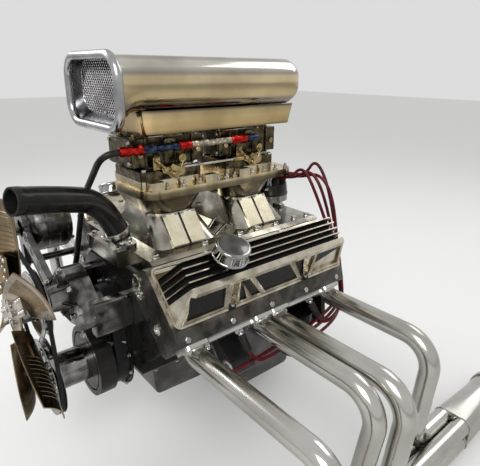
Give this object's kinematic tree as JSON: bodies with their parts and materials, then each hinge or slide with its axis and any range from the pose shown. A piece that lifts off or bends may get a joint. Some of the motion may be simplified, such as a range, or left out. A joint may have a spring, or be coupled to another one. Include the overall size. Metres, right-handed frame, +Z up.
{
  "type": "hot rod v8 engine",
  "caption": "V8 engine with intake scoop, twin carburettors, finned valve covers, side headers, front drive and fan, on a bellhousing face.",
  "frame": {"origin": "crankshaft axis in the plane of the block's rear face", "axes": "+Y to the rear of the car along the crankshaft, +X to the car's left, +Z up"},
  "size_m": [1.2834, 1.0581, 0.8845],
  "materials": {
    "block_paint": "gloss black",
    "head_alloy": "dark polished",
    "pan_steel": "satin",
    "cover_alloy": "polished fins over black valleys",
    "breather_chrome": "mirror bright",
    "header_coat": "satin silver coating",
    "intake_alloy": "polished",
    "carburettor_metal": "satin gold plated",
    "scoop_alloy": "polished",
    "screen_steel": "dark satin",
    "crank_iron": "machined",
    "damper_paint": "satin black",
    "pulley_chrome": "bright",
    "pump_alloy": "polished",
    "fan_chrome": "bright",
    "alternator_alloy": "satin",
    "bracket_alloy": "polished",
    "belt_rubber": "matt",
    "hose_rubber": "satin",
    "clamp_steel": "bright",
    "distributor_alloy": "polished",
    "cap_plastic": "gloss black",
    "boot_rubber": "satin",
    "wire_red": "satin dark red",
    "fitting_red": "anodised red",
    "fitting_blue": "anodised dark blue",
    "braid_steel": "braided",
    "linkage_plating": "gold plated",
    "starter_paint": "gloss black",
    "filter_paint": "gloss",
    "fuel_pump_metal": "satin"
  },
  "bodies": {
    "engine": {"block": "block_paint", "timing_cover": "block_paint", "head_left": "head_alloy", "head_right": "head_alloy", "oil_pan": "pan_steel", "valve_cover_left": "cover_alloy", "valve_cover_right": "cover_alloy", "breather_left": "breather_chrome", "breather_right": "breather_chrome", "header_flange_left": "header_coat", "header_flange_right": "header_coat", "header_tubes_left": "header_coat", "header_tubes_right": "header_coat", "header_tube_second_left": "header_coat", "header_tube_second_right": "header_coat", "header_tube_third_left": "header_coat", "header_tube_third_right": "header_coat", "collector_left": "header_coat", "collector_right": "header_coat", "intake_base": "intake_alloy", "intake_plenum": "intake_alloy", "carburettor_front": "carburettor_metal", "carburettor_rear": "carburettor_metal", "scoop_base": "scoop_alloy", "scoop": "scoop_alloy", "scoop_screen": "screen_steel", "water_pump": "pump_alloy", "water_neck": "pump_alloy", "alternator": "alternator_alloy", "alternator_bracket": "bracket_alloy", "fan_belt": "belt_rubber", "radiator_hose": "hose_rubber", "fuel_feed_hose": "hose_rubber", "hose_clamp": "clamp_steel", "distributor": "distributor_alloy", "distributor_cap": "cap_plastic", "spark_plugs_left": "boot_rubber", "spark_plugs_right": "boot_rubber", "plug_wires_left": "wire_red", "plug_wires_right": "wire_red", "fuel_fittings_red": "fitting_red", "fuel_fittings_blue": "fitting_blue", "fuel_link_hose": "braid_steel", "throttle_linkage": "linkage_plating", "starter": "starter_paint", "engine_mount_left": "starter_paint", "engine_mount_right": "starter_paint", "oil_filter": "filter_paint", "fuel_pump": "fuel_pump_metal"},
    "crank": {"crankshaft": "crank_iron", "crank_damper": "damper_paint", "crank_pulley": "pulley_chrome", "flexplate": "crank_iron"},
    "fan_drive": {"fan": "fan_chrome", "pump_pulley": "pulley_chrome"},
    "alternator_rotor": {"alternator_pulley": "pulley_chrome"}
  },
  "joints": [
    {"name": "crank_spin", "type": "hinge", "parent": "engine", "child": "crank", "pos_m": [0, -0.3, 0], "axis": [0, 1, 0], "continuous": true},
    {"name": "fan_spin", "type": "hinge", "parent": "engine", "child": "fan_drive", "pos_m": [0, -0.66, 0.175], "axis": [0, 1, 0], "continuous": true},
    {"name": "alternator_spin", "type": "hinge", "parent": "engine", "child": "alternator_rotor", "pos_m": [-0.235, -0.66, 0.262], "axis": [0, 1, 0], "continuous": true}
  ],
  "couplings": [
    {"joint": "fan_spin", "follows": "crank_spin", "ratio": 1.2143},
    {"joint": "alternator_spin", "follows": "crank_spin", "ratio": 2.5}
  ]
}
